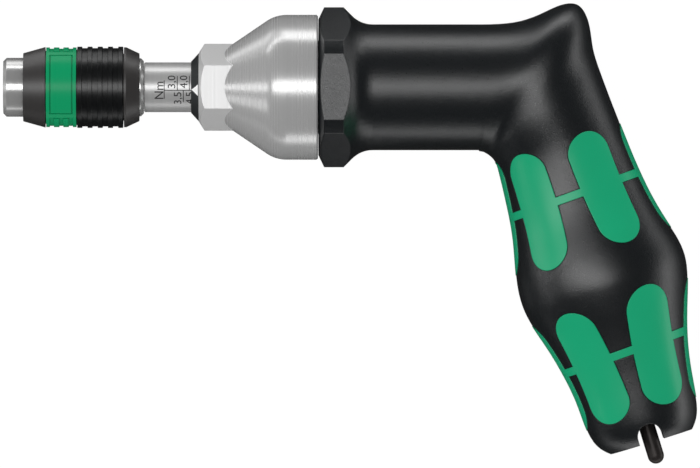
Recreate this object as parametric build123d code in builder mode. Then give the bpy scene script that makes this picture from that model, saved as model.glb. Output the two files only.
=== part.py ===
"""Pistol-grip torque screwdriver with a quick-release bit chuck, in millimetres.

The drive axis is X. It starts at the mouth of the bit socket, which is the origin, and runs back through
the chuck, the scale tube and the setting cap into the handle. The tool lies on its side: Z is up, and
the grip leans down and back in the XY plane.
"""

from build123d import *
import os
from math import cos, degrees, radians, sin, sqrt, tan

os.makedirs("parts", exist_ok=True)

# Fits
running_gap = 0.05        # radial gap of a piece that turns or slides on another
face_gap = 0.1            # gap between flat faces that turn against each other
washer_clear = 0.15       # radial room of a washer on its shaft
overshoot = 1.0           # how far a cut starts outside the surface it goes into

# Bit socket and chuck body
socket_flats = 6.45       # across the flats, for a quarter-inch hexagon bit
socket_depth = 20.0
mouth_chamfer = 0.75
nose_radius = 6.65
nose_length = 5.6
chuck_radius = 5.45
chuck_length = 30.75
magnet_radius = 2.6
magnet_length = 2.5
ball_radius = 1.25
ball_station = 11.0
circlip_station = 17.0
circlip_width = 0.8
circlip_groove = 0.45     # depth
circlip_height = 0.8      # how far it stands out of the chuck body
cross_pin_radius = 1.0
cross_pin_station = 28.4

# Quick-release sleeve
sleeve_front = 4.5
release_travel = 3.0
ramp_share = 0.85         # of the travel that the bush's ramp takes to let the ball out
nose_sleeve_length = 5.0
nose_sleeve_front_radius = 7.7
nose_sleeve_rear_radius = 9.1
slit = 0.2                # the dark line between two sleeve pieces
colour_ring_length = 6.8
colour_ring_radius = 9.0
colour_ring_seat = 8.2
pattern_margin = 0.78     # plain rim on each side of the ring's panels and bars
pattern_depth = 0.28
pattern_turn = -5.4       # how far the ring stands turned, as the photograph shows it
panel_groove = 0.3        # width of the line round each panel
panel_angle = 97.0        # that one panel takes round the ring
bar_pocket_angle = 67.4   # that one pocket with its two bars takes
bar_end_gap = 2.0         # in degrees
bar_width = 1.2
bar_side_gap = 0.95       # from the pocket's side to the bar
grip_length = 10.35
rib_radius = 9.18
rib_count = 5
rib_width = 1.12
rib_groove_depth = 0.33
rib_rounding = 0.12
grip_step = 0.3           # step in front of the ribs
tail_land = 0.5
tail_length = 3.45
tail_front_radius = 9.03
tail_rear_radius = 7.65
spigot_length = 2.4
spigot_wall = 0.5
bush_wall = 0.65
bush_front = 9.0
spring_stop_width = 0.8
sleeve_spring_wire = 0.35  # radius
sleeve_spring_turns = 6

# Scale tube and drive shaft
shaft_radius = 4.0
shaft_journal = 3.5       # radius inside the chuck and the collar
journal_length = 7.25
thrust_collar_radius = 6.55
thrust_collar_length = 0.95
thrust_collar_chamfer = 0.63
tube_radius = 5.62
tube_bore = 4.8
tube_length = 38.2
tube_chamfer = 0.2
tube_bush_length = 6.0
tube_bush_inset = 0.6
keyway_width = 2.1
keyway_depth = 0.7
keyway_spare = 1.0        # length left in front of the guide pin at the lowest setting

# Setting cap and its pointer ring
setting_pitch = 1.36      # one turn of the cap
turns_to_least = 2        # from the setting shown to the lowest
turns_to_most = 4         # from the setting shown to the highest
pointer_front = 42.4
pointer_length = 1.7
pointer_front_radius = 5.82
pointer_rear_radius = 7.7
pointer_spigot_radius = 6.8
pointer_spigot_length = 2.0
cap_hex_flats = 17.0
cap_hex_front_radius = 7.72
cap_hex_chamfer = 1.3
cap_cone_front = 49.9     # where the cone leaves the middle of a flat
cap_cone_angle = 34.2
cap_radius = 16.35
cap_blend_radius = 8.0
cap_edge = 0.3
cap_shoulder = 60.0       # inner shoulder, against the washer
cap_skirt_bore = 10.55
cap_washer = 0.5
cap_washer_clear = 0.4

# Mechanism housing, pressed into the handle
handle_front = 71.1
spigot_front = 60.65
front_wall = 6.0
housing_radius = 11.5
housing_cavity = 9.0
housing_flange_radius = 15.0
housing_flange = 1.8
housing_length = 47.0
guide_pin_radius = 1.0
guide_pin_station = 62.2
friction_ring_radius = 0.8
friction_ring_station = 65.0
snap_ring_station = 68.0
snap_ring_width = 1.0
snap_ring_height = 1.4
screw_count = 3
screw_circle = 13.0
screw_radius = 1.0
screw_head_radius = 1.75
screw_head = 1.2
screw_drive_radius = 0.75
screw_drive_depth = 0.7
screw_length = 9.0
end_plug_length = 3.0

# Torque spring and clutch
spring_washer = 0.8
torque_spring_length = 19.6
torque_spring_radius = 7.1
torque_spring_wire = 1.1  # radius
torque_spring_turns = 5
clutch_ring_length = 4.0
clutch_ball_radius = 2.0
clutch_ball_count = 4
clutch_ball_circle = 6.3
clutch_gap = 1.6          # between the clutch ring and the cam disc
pocket_drop = 0.4         # how much deeper the cam disc's pockets are than its race
cam_disc_length = 4.0
cam_disc_radius = 8.6
lug_count = 3
lug_width = 3.0
lug_height = 1.0
lug_root = 0.5            # how deep the middle of a lug lies in the clutch ring
cam_square = 5.6
nut_flats = 8.0
nut_length = 3.0
thread_radius = 2.5
thread_stands_out = 1.0

# Handle
collar_stands_out = 0.1   # beyond the cap, so that the tool rests on a flat of the collar
collar_corner_cut = 0.93  # how much each corner of the collar's hexagon is cut off
collar_front_drop = 1.1   # from the flats to the edge of the front face
collar_front_chamfer = 1.3
collar_flat_length = 4.4
collar_rear_drop = 0.25   # from the flats to the edge where the neck starts
barrel_radius = 14.2
neck_radius = 6.5
barrel_end = 100.0        # where the barrel stops being a plain cylinder
elbow_station = 106.2     # along the drive axis
crotch_radius = 5.7
grip_tilt = 17.25
grip_length_below_elbow = 69.3
# The elbow fans out round the crotch: angle, depth from the crotch arc, half thickness.
elbow_fan = (
    (12.0, 29.4, 14.2), (20.0, 32.2, 14.2), (26.0, 36.7, 14.3), (31.5, 39.4, 14.4), (37.0, 37.4, 14.4),
    (43.0, 33.7, 14.3), (51.0, 31.1, 14.1), (62.0, 29.5, 13.6),
)
# The grip: height above the butt, half width, shift away from the crotch, half thickness.
# At its widest it is as thick as the collar, so that the tool rests on both.
rest_height = cap_radius + collar_stands_out
grip_stations = (
    (69.3, 14.68, -0.1, 13.2), (60.7, 15.35, 0.0, 13.2), (52.7, 16.45, 0.1, 14.1), (45.7, 18.1, 0.2, rest_height - 0.95),
    (40.7, 19.1, 0.4, rest_height - 0.15), (37.7, 19.2, 0.45, rest_height), (33.7, 18.55, 0.4, rest_height - 0.55),
    (27.7, 16.7, 0.3, 14.4),
    (20.7, 14.75, 0.1, 12.9), (12.7, 13.4, -0.1, 12.0), (6.7, 12.85, -0.3, 11.5), (3.7, 12.2, -0.3, 11.0),
    (1.6, 11.1, -0.2, 10.1), (0.0, 9.6, 0.0, 8.8),
)

# Soft grip inserts, flush in their pockets: two groups of six pads, each group joined by a band
insert_depth = 1.2
insert_proud = 0.12
# Each side pad: lower end, upper end, angle from straight up (away from the crotch), width, lean.
lower_side_pads = ((6.55, 33.35, -36.3, 10.05, 2.1), (7.2, 34.35, 32.0, 10.4, 0.0))
upper_side_pads = ((43.8, 70.7, -39.7, 9.5, 2.9), (44.75, 71.3, 28.3, 10.0, 2.9))
lower_edge_pads = (6.7, 32.9)
upper_edge_pads = (44.9, 70.7)
edge_pad_width = 8.8
lower_band = 21.1
upper_band = 58.35
band_width = 1.85
band_tilt = 2.5

# Setting key stored in the butt
key_radius = 1.85
key_length = 58.0
key_stands_out = 5.1
key_bore_spare = 1.0      # depth left beyond the key's inner end
key_ring_radius = 0.75
key_ring_station = 11.0
key_socket_flats = 3.0
key_hex_length = 10.0
butt_slot_width = 5.7
butt_slot_depth = 4.2


# Frames of the grip: the pivot of the crotch and the middle of the butt face
pivot_y = -(barrel_radius + crotch_radius)
grip_up = Vector(-sin(radians(grip_tilt)), cos(radians(grip_tilt)), 0)
grip_out = Vector(cos(radians(grip_tilt)), sin(radians(grip_tilt)), 0)
elbow_end_half_width = grip_stations[0][1]
elbow_end_shift = grip_stations[0][2]
pivot = Vector(elbow_station, pivot_y, 0)
axis_at_elbow = pivot + grip_out * (crotch_radius + elbow_end_half_width - elbow_end_shift)
butt = axis_at_elbow - grip_up * grip_length_below_elbow
barrel_stations = (barrel_end, barrel_end + 2, barrel_end + 4, elbow_station)
shared_sections = 3       # sections that both runs of the loft have on each side of the hump
hump_in_fan = 3
hump_section = len(barrel_stations) + hump_in_fan
hump_angle = radians(elbow_fan[hump_in_fan][0])
hump_plane = Plane(
    pivot, x_dir=(sin(hump_angle), cos(hump_angle), 0), z_dir=(cos(hump_angle), -sin(hump_angle), 0)
)


def turn(*points, mode=Mode.ADD):
    """Turn an outline of (x, radius) points about the drive axis."""
    with BuildSketch(Plane.XY) as section:
        with BuildLine():
            Polyline(*points, close=True)
        make_face()
    revolve(section.sketch, axis=Axis.X, mode=mode)


def ring(start, end, inner, outer, mode=Mode.ADD):
    """A plain ring or disc on the drive axis."""
    turn((start, inner), (start, outer), (end, outer), (end, inner), mode=mode)


def sector(start, end, inner, outer, first, last, mode=Mode.SUBTRACT):
    """Part of a ring on the drive axis, between two angles from straight up."""
    middle = ((start + end) / 2, (inner + outer) / 2)
    with BuildSketch(Plane.XY.rotated((90 + first, 0, 0))) as section:
        with Locations(middle):
            Rectangle(end - start, outer - inner)
    revolve(section.sketch, axis=Axis.X, revolution_arc=last - first, mode=mode)


def hexagon(start, length, across_flats, mode=Mode.ADD, rotation=0):
    """A hexagonal prism on the drive axis, with two flats facing up and down."""
    with BuildSketch(Plane.YZ.offset(start)) as section:
        RegularPolygon(across_flats / 2, 6, major_radius=False, rotation=rotation)
    extrude(section.sketch, amount=length, mode=mode)


def coil(start, end, mean_radius, wire, turns):
    """A compression spring between two seats on the drive axis."""
    height = end - start - 2 * wire
    with BuildLine() as path:
        Helix(height / turns, height, mean_radius, center=(start + wire, 0, 0), direction=(1, 0, 0))
    with BuildSketch(Plane(path.line @ 0, z_dir=path.line % 0)) as section:
        Circle(wire)
    sweep(section.sketch, path=path.line, is_frenet=True)


def hand_sections(offset):
    """Cross-sections of the handle from the barrel round the elbow to the butt, grown by the offset."""
    sections = []
    for station in barrel_stations:
        plane = Plane((station, 0, 0), x_dir=(0, 1, 0), z_dir=(1, 0, 0))
        with BuildSketch(plane) as section:
            Circle(barrel_radius + offset)
        sections.append(section.sketch)
    for angle, depth, half_thickness in elbow_fan:
        turn_angle = radians(angle)
        outward = Vector(sin(turn_angle), cos(turn_angle), 0)
        along = Vector(cos(turn_angle), -sin(turn_angle), 0)
        centre = pivot + outward * (crotch_radius + depth / 2)
        with BuildSketch(Plane(centre, x_dir=outward, z_dir=along)) as section:
            Ellipse(depth / 2 + offset, half_thickness + offset)
        sections.append(section.sketch)
    for height, half_width, shift, half_thickness in grip_stations:
        centre = butt + grip_up * height + grip_out * shift
        with BuildSketch(Plane(centre, x_dir=grip_out, z_dir=-grip_up)) as section:
            Ellipse(half_width + offset, half_thickness + offset)
        sections.append(section.sketch)
    return sections


def hand_form(offset):
    """Barrel end, elbow and grip in one solid, lofted in two runs that meet at the top of the hump."""
    sections = hand_sections(offset)
    with BuildPart() as barrel_run:
        loft(sections[: hump_section + shared_sections + 1])
        split(bisect_by=hump_plane, keep=Keep.BOTTOM)
    with BuildPart() as grip_run:
        loft(sections[hump_section - shared_sections :])
        split(bisect_by=hump_plane, keep=Keep.TOP)
    with BuildPart() as hand:
        add(barrel_run.part)
        add(grip_run.part)
    return hand.part


def pad_prism(low, high, angle, width, lean=0):
    """A rounded bar that reaches from the grip's axis out through its skin."""
    outward = grip_out * sin(radians(angle)) + Vector(0, 0, cos(radians(angle)))
    middle = butt + grip_up * ((low + high) / 2)
    with BuildSketch(Plane(middle, x_dir=grip_up, z_dir=outward)) as footprint:
        SlotOverall(high - low, width, rotation=lean)
    extrude(footprint.sketch, amount=2 * barrel_radius)


def insert_footprint(side_pads, edge_pads, band):
    """The six pads of one group and the band that joins them, still going through the grip."""
    for low, high, angle, width, lean in side_pads:
        pad_prism(low, high, angle, width, lean)
        pad_prism(low, high, 180 - angle, width, -lean)
    for angle in (-90, 90):
        pad_prism(*edge_pads, angle, edge_pad_width)
    tilt = radians(grip_tilt + band_tilt)
    across = Vector(cos(tilt), sin(tilt), 0)
    along = Vector(-sin(tilt), cos(tilt), 0)
    slab_foot = butt + grip_up * band - along * (band_width / 2)
    with BuildSketch(Plane(slab_foot, x_dir=across, z_dir=along)) as slab:
        Rectangle(4 * barrel_radius, 4 * barrel_radius)
    extrude(slab.sketch, amount=band_width)


# Stations along the drive axis, from front to back
circlip_outer = chuck_radius + circlip_height
chamber_radius = circlip_outer + face_gap
bush_bore = chuck_radius + running_gap
bush_radius = chamber_radius + bush_wall
sleeve_bore = bush_radius + running_gap
spigot_radius = sleeve_bore + spigot_wall
colour_ring_front = sleeve_front + nose_sleeve_length + slit
grip_front = colour_ring_front + colour_ring_length + slit
grip_rear = grip_front + grip_length
tail_front = grip_rear + slit
tail_rear = tail_front + tail_length
bush_rear = tail_front - face_gap
tube_front = chuck_length + thrust_collar_length + face_gap
tube_rear = tube_front + tube_length
spring_front = spigot_front + front_wall + spring_washer
spring_rear = spring_front + torque_spring_length
clutch_front = spring_rear + spring_washer
clutch_rear = clutch_front + clutch_ring_length
cam_front = clutch_rear + clutch_gap
cam_rear = cam_front + cam_disc_length
nut_rear = cam_rear + nut_length
housing_rear = spigot_front + housing_length
plug_front = housing_rear - end_plug_length

ball_centre = chuck_radius - ball_radius

# Chuck body: the polished nose with the hexagon socket, and the barrel that the sleeve slides on
with BuildPart() as chuck_body:
    turn(
        (0, 0), (0, nose_radius - mouth_chamfer), (mouth_chamfer, nose_radius), (nose_length, nose_radius),
        (nose_length, chuck_radius), (chuck_length, chuck_radius), (chuck_length, 0),
    )
    hexagon(0, socket_depth, socket_flats, mode=Mode.SUBTRACT)
    socket_corner = socket_flats / sqrt(3)
    turn((0, 0), (0, socket_corner + mouth_chamfer), (socket_corner + mouth_chamfer, 0), mode=Mode.SUBTRACT)
    ring(socket_depth, socket_depth + magnet_length, 0, magnet_radius, mode=Mode.SUBTRACT)
    ring(chuck_length - journal_length, chuck_length, 0, shaft_journal, mode=Mode.SUBTRACT)
    ring(
        circlip_station, circlip_station + circlip_width, chuck_radius - circlip_groove,
        chuck_radius + overshoot, mode=Mode.SUBTRACT,
    )
    with BuildSketch(Plane((ball_station, ball_centre, 0), x_dir=(1, 0, 0), z_dir=(0, 1, 0))) as ball_hole:
        Circle(ball_radius + running_gap)
    extrude(ball_hole.sketch, amount=chuck_radius, mode=Mode.SUBTRACT)
    with Locations((ball_station, ball_centre, 0)):
        Sphere(ball_radius + running_gap, mode=Mode.SUBTRACT)
    with BuildSketch(Plane((cross_pin_station, 0, 0), x_dir=(1, 0, 0), z_dir=(0, 0, 1))) as pin_hole:
        Circle(cross_pin_radius)
    extrude(pin_hole.sketch, amount=chuck_radius + overshoot, both=True, mode=Mode.SUBTRACT)

# Magnet at the bottom of the socket
with BuildPart() as bit_magnet:
    ring(socket_depth, socket_depth + magnet_length, 0, magnet_radius)

# Ball that locks the bit, resting in a corner of the socket
with BuildPart() as lock_ball:
    with Locations((ball_station, ball_centre, 0)):
        Sphere(ball_radius)

# Spring clip that carries the front end of the sleeve's spring
with BuildPart() as chuck_circlip:
    ring(circlip_station, circlip_station + circlip_width, chuck_radius - circlip_groove, circlip_outer)

# Steel bush that slides on the chuck: its ramp lets the ball out when it is pushed forward
ramp_length = ramp_share * release_travel
with BuildPart() as slide_bush:
    turn(
        (bush_front, bush_bore), (bush_front, bush_radius), (bush_rear, bush_radius),
        (bush_rear, chamber_radius), (ball_station + ramp_length, chamber_radius), (ball_station, bush_bore),
    )

# Ring pressed into the back of the bush: the rear seat of the spring
with BuildPart() as spring_stop:
    ring(bush_rear - spring_stop_width, bush_rear, bush_bore, chamber_radius)

# Spring that returns the sleeve
sleeve_spring_radius = (bush_bore + chamber_radius) / 2
with BuildPart() as sleeve_spring:
    coil(
        circlip_station + circlip_width, bush_rear - spring_stop_width, sleeve_spring_radius,
        sleeve_spring_wire, sleeve_spring_turns,
    )

# Front cone of the sleeve, screwed into the grip sleeve by its spigot
nose_sleeve_rear = sleeve_front + nose_sleeve_length
nose_clear = nose_radius + 2 * running_gap
with BuildPart() as sleeve_nose:
    turn(
        (sleeve_front, nose_clear), (sleeve_front, nose_sleeve_front_radius),
        (nose_sleeve_rear, nose_sleeve_rear_radius), (nose_sleeve_rear, spigot_radius),
        (nose_sleeve_rear + spigot_length, spigot_radius), (nose_sleeve_rear + spigot_length, sleeve_bore),
        (bush_front - face_gap, sleeve_bore), (bush_front - face_gap, nose_clear),
    )

# Coloured ring: two plain panels with a line round each, and two pockets between them with two bars each
pattern_front = colour_ring_front + pattern_margin
pattern_rear = colour_ring_front + colour_ring_length - pattern_margin
pattern_floor = colour_ring_radius - pattern_depth
ring_outside = colour_ring_radius + overshoot
line_angle = degrees(panel_groove / colour_ring_radius)
with BuildPart() as colour_ring:
    ring(colour_ring_front, colour_ring_front + colour_ring_length, colour_ring_seat, colour_ring_radius)
    for side in (pattern_turn, pattern_turn + 180):
        panel_first = side - panel_angle / 2
        panel_last = side + panel_angle / 2
        for line in (pattern_front, pattern_rear - panel_groove):
            sector(line, line + panel_groove, pattern_floor, ring_outside, panel_first, panel_last)
        for line in (panel_first, panel_last - line_angle):
            sector(pattern_front, pattern_rear, pattern_floor, ring_outside, line, line + line_angle)
        pocket_first = side + 90 - bar_pocket_angle / 2
        pocket_last = side + 90 + bar_pocket_angle / 2
        sector(pattern_front, pattern_rear, pattern_floor, ring_outside, pocket_first, pocket_last)
        for bar in (pattern_front + bar_side_gap, pattern_rear - bar_side_gap - bar_width):
            sector(
                bar, bar + bar_width, (colour_ring_seat + pattern_floor) / 2, colour_ring_radius,
                pocket_first + bar_end_gap, pocket_last - bar_end_gap, mode=Mode.ADD,
            )

# Ribbed black sleeve that the fingers turn
rib_pitch = (grip_length - rib_width) / (rib_count - 1)
with BuildPart() as grip_sleeve:
    turn(
        (nose_sleeve_rear, spigot_radius), (nose_sleeve_rear, colour_ring_seat),
        (grip_front - slit, colour_ring_seat), (grip_front - slit, colour_ring_seat + grip_step),
        (grip_front, colour_ring_seat + grip_step), (grip_front, rib_radius),
        (grip_rear, rib_radius), (grip_rear, spigot_radius), (grip_rear - spigot_length, spigot_radius),
        (grip_rear - spigot_length, sleeve_bore), (nose_sleeve_rear + spigot_length, sleeve_bore),
        (nose_sleeve_rear + spigot_length, spigot_radius),
    )
    for rib in range(rib_count - 1):
        groove_front = grip_front + rib * rib_pitch + rib_width
        ring(
            groove_front, grip_front + (rib + 1) * rib_pitch, rib_radius - rib_groove_depth,
            rib_radius + overshoot, mode=Mode.SUBTRACT,
        )
    circles = grip_sleeve.edges().filter_by(GeomType.CIRCLE)
    fillet([circle for circle in circles if circle.radius > rib_radius - running_gap], rib_rounding)

# Rear cone of the sleeve: its spigot is pressed into the grip sleeve and its wall holds the bush
with BuildPart() as sleeve_tail:
    turn(
        (grip_rear - spigot_length, sleeve_bore), (grip_rear - spigot_length, spigot_radius),
        (tail_front, spigot_radius), (tail_front, tail_front_radius),
        (tail_front + tail_land, tail_front_radius), (tail_rear, tail_rear_radius), (tail_rear, bush_bore),
        (tail_front, bush_bore), (tail_front, sleeve_bore),
    )

# Steel collar between the chuck and the scale tube: it takes the pull of the torque spring
thrust_collar_rear = chuck_length + thrust_collar_length
with BuildPart() as thrust_collar:
    turn(
        (chuck_length, shaft_journal), (chuck_length, thrust_collar_radius),
        (thrust_collar_rear - thrust_collar_chamfer, thrust_collar_radius),
        (thrust_collar_rear, thrust_collar_radius - thrust_collar_chamfer),
        (thrust_collar_rear, shaft_journal),
    )

# Drive shaft: pinned into the chuck in front, squared for the cam disc and threaded for its nut behind
thread_end = nut_rear + thread_stands_out
with BuildPart() as drive_shaft:
    ring(chuck_length - journal_length, thrust_collar_rear, 0, shaft_journal)
    ring(thrust_collar_rear, cam_front, 0, shaft_radius)
    with BuildSketch(Plane.YZ.offset(cam_front)) as square_end:
        Rectangle(cam_square, cam_square)
    extrude(square_end.sketch, amount=cam_disc_length)
    ring(cam_rear, thread_end, 0, thread_radius)
    with BuildSketch(Plane((cross_pin_station, 0, 0), x_dir=(1, 0, 0), z_dir=(0, 0, 1))) as pin_way:
        Circle(cross_pin_radius)
    extrude(pin_way.sketch, amount=chuck_radius + overshoot, both=True, mode=Mode.SUBTRACT)

# Pin through the chuck and the shaft
with BuildPart() as chuck_cross_pin:
    with BuildSketch(Plane((cross_pin_station, 0, 0), x_dir=(1, 0, 0), z_dir=(0, 0, 1))) as pin_section:
        Circle(cross_pin_radius)
    extrude(pin_section.sketch, amount=chuck_radius - running_gap, both=True)

# Scale tube: it slides and never turns, so its scale always faces the same way
guide_plane = Plane((guide_pin_station, 0, 0), x_dir=(1, 0, 0), z_dir=(0, 0, -1))
keyway_front = guide_pin_station - guide_pin_radius - turns_to_least * setting_pitch - keyway_spare
keyway_length = tube_rear - keyway_front
with BuildPart() as scale_tube:
    ring(tube_front, tube_rear, tube_bore, tube_radius)
    tube_edges = scale_tube.edges().filter_by(GeomType.CIRCLE).group_by(Axis.X)[0]
    chamfer(tube_edges.sort_by(SortBy.RADIUS)[-1], tube_chamfer)
    with BuildSketch(Plane.XY.offset(-tube_radius - overshoot)) as keyway:
        with Locations((keyway_front + keyway_length / 2, 0)):
            Rectangle(keyway_length, keyway_width)
    extrude(keyway.sketch, amount=overshoot + keyway_depth, mode=Mode.SUBTRACT)

# Bronze bushes at both ends of the tube's bore
bush_inner = shaft_radius + running_gap
front_bush_start = tube_front + tube_bush_inset
with BuildPart() as front_bush:
    ring(front_bush_start, front_bush_start + tube_bush_length, bush_inner, tube_bore)
with BuildPart() as rear_bush:
    ring(tube_rear - tube_bush_length, tube_rear, bush_inner, tube_bore)

# Pointer ring on the front of the setting cap
pointer_bore = tube_radius + running_gap
cap_front = pointer_front + pointer_length
with BuildPart() as pointer_ring:
    turn(
        (pointer_front, pointer_bore), (pointer_front, pointer_front_radius),
        (cap_front, pointer_rear_radius), (cap_front, pointer_spigot_radius),
        (cap_front + pointer_spigot_length, pointer_spigot_radius),
        (cap_front + pointer_spigot_length, pointer_bore),
    )

# Setting cap: a turned aluminium bell with a hexagon milled on its neck
cap_rear = handle_front - face_gap
hex_corner_radius = cap_hex_flats / sqrt(3)
cone_slope = tan(radians(cap_cone_angle))
cone_start_radius = cap_hex_flats / 2
bell_corner = cap_cone_front + (cap_radius - cone_start_radius) / cone_slope
snap_ring_rear = snap_ring_station + snap_ring_width
with BuildPart() as setting_cap:
    hexagon(cap_front, bell_corner - cap_front, cap_hex_flats)
    turn(
        (cap_front, 0), (cap_front, cap_hex_front_radius), (cap_front + cap_hex_chamfer, hex_corner_radius),
        (cap_front + cap_hex_chamfer, 2 * cap_radius), (bell_corner, 2 * cap_radius), (bell_corner, 0),
        mode=Mode.INTERSECT,
    )
    with BuildSketch(Plane.XY) as bell:
        with BuildLine():
            bell_line = Polyline(
                (cap_cone_front, 0), (cap_cone_front, cone_start_radius), (bell_corner, cap_radius),
                (cap_rear - cap_edge, cap_radius), (cap_rear, cap_radius - cap_edge), (cap_rear, 0),
                close=True,
            )
        make_face()
        shoulder = bell.vertices().sort_by_distance((bell_corner, cap_radius))[0]
        fillet(shoulder, cap_blend_radius)
    revolve(bell.sketch, axis=Axis.X)
    ring(cap_front, cap_shoulder, 0, tube_radius + running_gap, mode=Mode.SUBTRACT)
    ring(cap_front, cap_front + pointer_spigot_length, 0, pointer_spigot_radius, mode=Mode.SUBTRACT)
    ring(cap_shoulder, cap_rear, 0, cap_skirt_bore, mode=Mode.SUBTRACT)
    ring(
        snap_ring_station - face_gap, snap_ring_rear + face_gap, 0,
        cap_skirt_bore + snap_ring_height / 2 + face_gap, mode=Mode.SUBTRACT,
    )

# Washer that the cap's shoulder turns against
housing_spigot = cap_skirt_bore - running_gap
cap_washer_front = cap_shoulder + face_gap / 2
with BuildPart() as cap_thrust_washer:
    ring(
        cap_washer_front, cap_washer_front + cap_washer, tube_radius + cap_washer_clear,
        housing_spigot - face_gap,
    )

# Mechanism housing: spigot for the cap, flange, press-fit barrel and the chamber of spring and clutch
cavity_front = spigot_front + front_wall
snap_ring_inner = cap_skirt_bore + snap_ring_height / 2 - snap_ring_height
friction_centre = housing_spigot - friction_ring_radius
friction_front = friction_ring_station - friction_ring_radius
friction_rear = friction_ring_station + friction_ring_radius
lug_way_front = clutch_front - turns_to_most * setting_pitch - overshoot
with BuildPart() as mechanism_housing:
    turn(
        (spigot_front, tube_radius + running_gap), (spigot_front, housing_spigot),
        (handle_front, housing_spigot), (handle_front, housing_flange_radius),
        (handle_front + housing_flange, housing_flange_radius),
        (handle_front + housing_flange, housing_radius), (housing_rear, housing_radius),
        (housing_rear, housing_cavity), (cavity_front, housing_cavity),
        (cavity_front, tube_radius + running_gap),
    )
    ring(
        snap_ring_station, snap_ring_rear, snap_ring_inner, housing_spigot + overshoot, mode=Mode.SUBTRACT
    )
    ring(
        friction_front, friction_rear, friction_centre - friction_ring_radius, housing_spigot + overshoot,
        mode=Mode.SUBTRACT,
    )
    with BuildSketch(Plane.YZ.offset(lug_way_front)) as lug_ways:
        with PolarLocations(housing_cavity - lug_root, lug_count):
            Rectangle(2 * (lug_height + lug_root + running_gap), lug_width + 2 * running_gap)
    extrude(lug_ways.sketch, amount=housing_rear - lug_way_front, mode=Mode.SUBTRACT)
    ring(cavity_front, housing_rear, 0, housing_cavity, mode=Mode.SUBTRACT)
    with BuildSketch(guide_plane) as guide_hole:
        Circle(guide_pin_radius)
    extrude(guide_hole.sketch, amount=housing_spigot + overshoot, mode=Mode.SUBTRACT)
    with BuildSketch(Plane.YZ.offset(handle_front)) as screw_heads:
        with PolarLocations(screw_circle, screw_count, start_angle=30):
            Circle(screw_head_radius)
    extrude(screw_heads.sketch, amount=screw_head, mode=Mode.SUBTRACT)
    with BuildSketch(Plane.YZ.offset(handle_front)) as screw_holes:
        with PolarLocations(screw_circle, screw_count, start_angle=30):
            Circle(screw_radius)
    extrude(screw_holes.sketch, amount=housing_flange, mode=Mode.SUBTRACT)

# Screws through the housing's flange into the handle
with BuildPart() as housing_screws:
    with BuildSketch(Plane.YZ.offset(handle_front)) as heads:
        with PolarLocations(screw_circle, screw_count, start_angle=30):
            Circle(screw_head_radius)
    extrude(heads.sketch, amount=screw_head)
    with BuildSketch(Plane.YZ.offset(handle_front + screw_head)) as shanks:
        with PolarLocations(screw_circle, screw_count, start_angle=30):
            Circle(screw_radius)
    extrude(shanks.sketch, amount=screw_length)
    with BuildSketch(Plane.YZ.offset(handle_front)) as drives:
        with PolarLocations(screw_circle, screw_count, start_angle=30):
            RegularPolygon(screw_drive_radius, 6)
    extrude(drives.sketch, amount=screw_drive_depth, mode=Mode.SUBTRACT)

# Pin in the housing's front wall that keeps the scale tube from turning
with BuildPart() as tube_guide_pin:
    with BuildSketch(guide_plane.offset(tube_radius - keyway_depth + running_gap)) as pin_tip:
        Circle(guide_pin_radius)
    extrude(pin_tip.sketch, amount=housing_spigot - tube_radius + keyway_depth - 2 * running_gap)

# Rings between housing and cap: the snap ring holds the cap on, the rubber ring makes it stiff to turn
with BuildPart() as cap_snap_ring:
    ring(snap_ring_station, snap_ring_rear, snap_ring_inner, snap_ring_inner + snap_ring_height)
with BuildPart() as cap_friction_ring:
    with BuildSketch(Plane.XY) as ring_section:
        with Locations((friction_ring_station, friction_centre)):
            Circle(friction_ring_radius)
    revolve(ring_section.sketch, axis=Axis.X)

# Plug that closes the back of the housing
with BuildPart() as housing_end_plug:
    ring(plug_front, housing_rear, 0, housing_cavity)

# Torque spring between its two washers
with BuildPart() as front_spring_washer:
    ring(cavity_front, spring_front, tube_radius + washer_clear, housing_cavity - running_gap)
with BuildPart() as torque_spring:
    coil(spring_front, spring_rear, torque_spring_radius, torque_spring_wire, torque_spring_turns)
with BuildPart() as rear_spring_washer:
    ring(spring_rear, clutch_front, shaft_radius + washer_clear, housing_cavity - running_gap)

# Clutch ring: lugs keep it from turning in the housing, and its back holds half of each ball
ball_plane_x = (clutch_rear + cam_front) / 2
with BuildPart() as clutch_ring:
    ring(clutch_front, clutch_rear, shaft_radius + running_gap, housing_cavity - running_gap)
    with BuildSketch(Plane.YZ.offset(clutch_front)) as lugs:
        with PolarLocations(housing_cavity - lug_root, lug_count):
            Rectangle(2 * (lug_height + lug_root), lug_width)
    extrude(lugs.sketch, amount=clutch_ring_length)
    with Locations(Plane.YZ.offset(ball_plane_x)):
        with PolarLocations(clutch_ball_circle, clutch_ball_count):
            Sphere(clutch_ball_radius + running_gap, mode=Mode.SUBTRACT)

# Balls of the clutch
with BuildPart() as clutch_balls:
    with Locations(Plane.YZ.offset(ball_plane_x)):
        with PolarLocations(clutch_ball_circle, clutch_ball_count):
            Sphere(clutch_ball_radius)

# Cam disc on the shaft's square: the balls roll in its race when the clutch slips, over deeper pockets
with BuildPart() as cam_disc:
    ring(cam_front, cam_rear, 0, cam_disc_radius)
    with BuildSketch(Plane.YZ.offset(cam_front)) as square_hole:
        Rectangle(cam_square, cam_square)
    extrude(square_hole.sketch, amount=cam_disc_length, mode=Mode.SUBTRACT)
    with BuildSketch(Plane.XY) as ball_race:
        with Locations((ball_plane_x, clutch_ball_circle)):
            Circle(clutch_ball_radius + running_gap)
    revolve(ball_race.sketch, axis=Axis.X, mode=Mode.SUBTRACT)
    with Locations(Plane.YZ.offset(ball_plane_x + pocket_drop)):
        with PolarLocations(clutch_ball_circle, clutch_ball_count):
            Sphere(clutch_ball_radius + running_gap, mode=Mode.SUBTRACT)

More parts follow.
